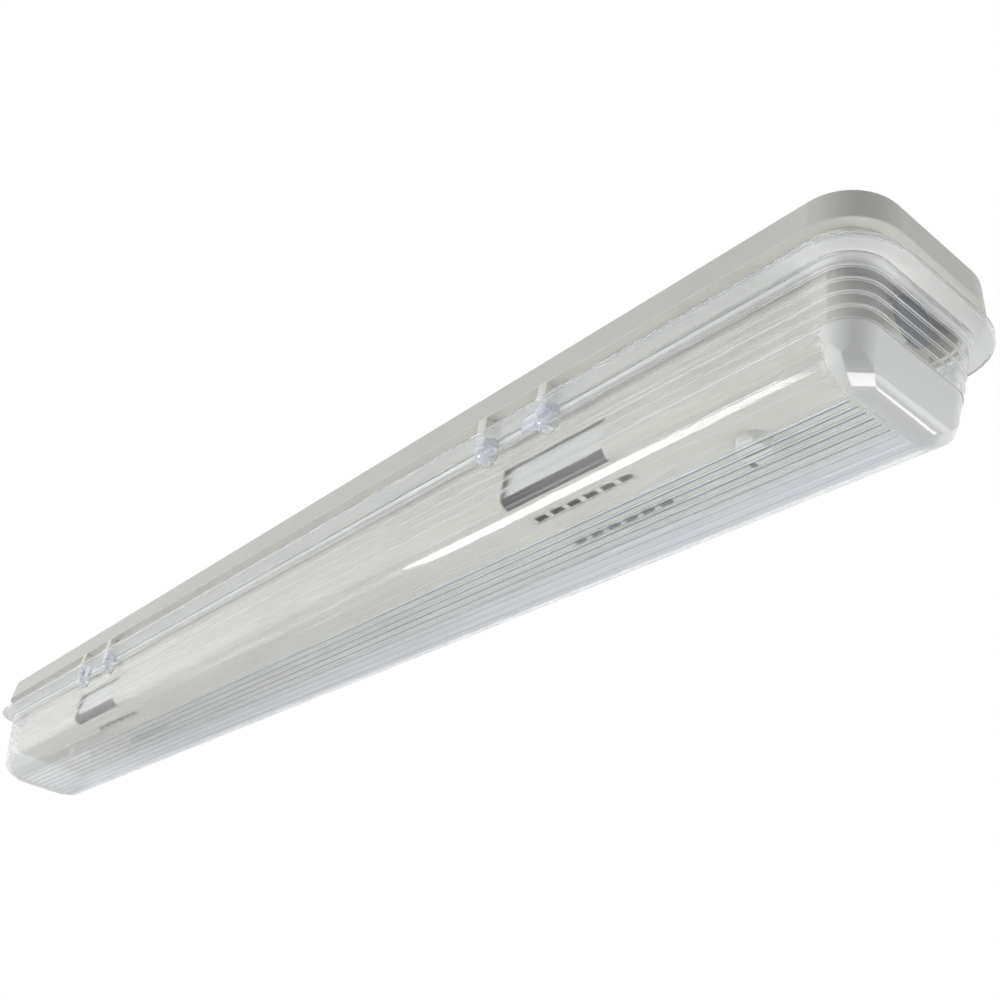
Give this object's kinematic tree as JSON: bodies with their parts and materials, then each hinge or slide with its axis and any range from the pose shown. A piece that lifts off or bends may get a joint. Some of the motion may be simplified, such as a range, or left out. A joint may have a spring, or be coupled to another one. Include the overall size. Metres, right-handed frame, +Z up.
{
  "type": "vapor-tight ceiling light",
  "caption": "Long sealed surface light: pale tub housing, clear drop-down diffuser with ribs and latch lugs, white inner cover on quarter-turn studs over LED boards and a driver",
  "frame": {"origin": "middle of the flat back, midway between the ceiling screws", "axes": "+X along the light towards the closed end, +Y across it, +Z up into the ceiling; the light hangs below z = 0"},
  "size_m": [1.2899, 0.1508, 0.1133],
  "materials": {
    "housing_plastic": "moulded pale grey polycarbonate, fine satin",
    "seal_rubber": "soft poured foam seal",
    "clear_plastic": "clear polycarbonate, glossy outside",
    "opal_plastic": "satin white opal sheet",
    "buffer_rubber": "dark slate rubber",
    "white_steel": "gloss white enamel",
    "stud_plastic": "moulded white nylon",
    "board_laminate": "white solder mask on an aluminium board",
    "led_phosphor": "yellow phosphor in a white package",
    "plated_steel": "bright zinc plate",
    "connector_plastic": "white connector moulding",
    "driver_steel": "galvanised sheet",
    "circuit_laminate": "green laminate",
    "winding_tape": "yellow tape over the windings",
    "capacitor_sleeve": "black sleeve",
    "gland_plastic": "grey nylon",
    "lead_brown": "brown insulation",
    "lead_blue": "blue insulation",
    "lead_green": "green and yellow insulation",
    "lead_white": "white insulation",
    "tinned_copper": "tinned copper"
  },
  "bodies": {
    "housing": {"base_housing": "housing_plastic", "gasket": "seal_rubber", "inner_cover": "opal_plastic", "cover_end_right": "opal_plastic", "cover_end_left": "opal_plastic", "end_buffer_post": "stud_plastic", "end_buffer_pad": "buffer_rubber", "gear_tray": "white_steel", "stud_sleeves": "stud_plastic", "led_board_right_near": "board_laminate", "led_board_right_far": "board_laminate", "led_board_left_near": "board_laminate", "led_board_left_far": "board_laminate", "led_chips": "led_phosphor", "board_screws": "plated_steel", "board_connectors": "connector_plastic", "driver_case": "driver_steel", "driver_screws": "plated_steel", "driver_lid": "driver_steel", "driver_circuit": "circuit_laminate", "driver_transformer": "winding_tape", "driver_capacitors": "capacitor_sleeve", "terminal_block": "connector_plastic", "terminal_screws": "plated_steel", "terminal_fixings": "plated_steel", "earth_lug": "tinned_copper", "earth_screw": "plated_steel", "gland_body": "gland_plastic", "gland_seal": "seal_rubber", "gland_cap": "gland_plastic", "gland_locknut": "gland_plastic", "rear_entry_plug": "seal_rubber", "fixing_seals": "seal_rubber", "live_lead": "lead_brown", "neutral_lead": "lead_blue", "earth_lead": "lead_green", "led_lead_near": "lead_white", "led_lead_far": "lead_white"},
    "diffuser": {"diffuser": "clear_plastic"},
    "stud_right": {"turn_stud_right": "stud_plastic"},
    "stud_left": {"turn_stud_left": "stud_plastic"}
  },
  "joints": [
    {"name": "diffuser_drop", "type": "slide", "parent": "housing", "child": "diffuser", "axis": [0, 0, -1], "range_m": [0, 0.15]},
    {"name": "stud_right_turn", "type": "hinge", "parent": "housing", "child": "stud_right", "pos_m": [0.505, 0, -0.036], "axis": [0, 0, 1], "range_deg": [0, 90]},
    {"name": "stud_left_turn", "type": "hinge", "parent": "housing", "child": "stud_left", "pos_m": [-0.505, 0, -0.036], "axis": [0, 0, 1], "range_deg": [0, 90]}
  ]
}
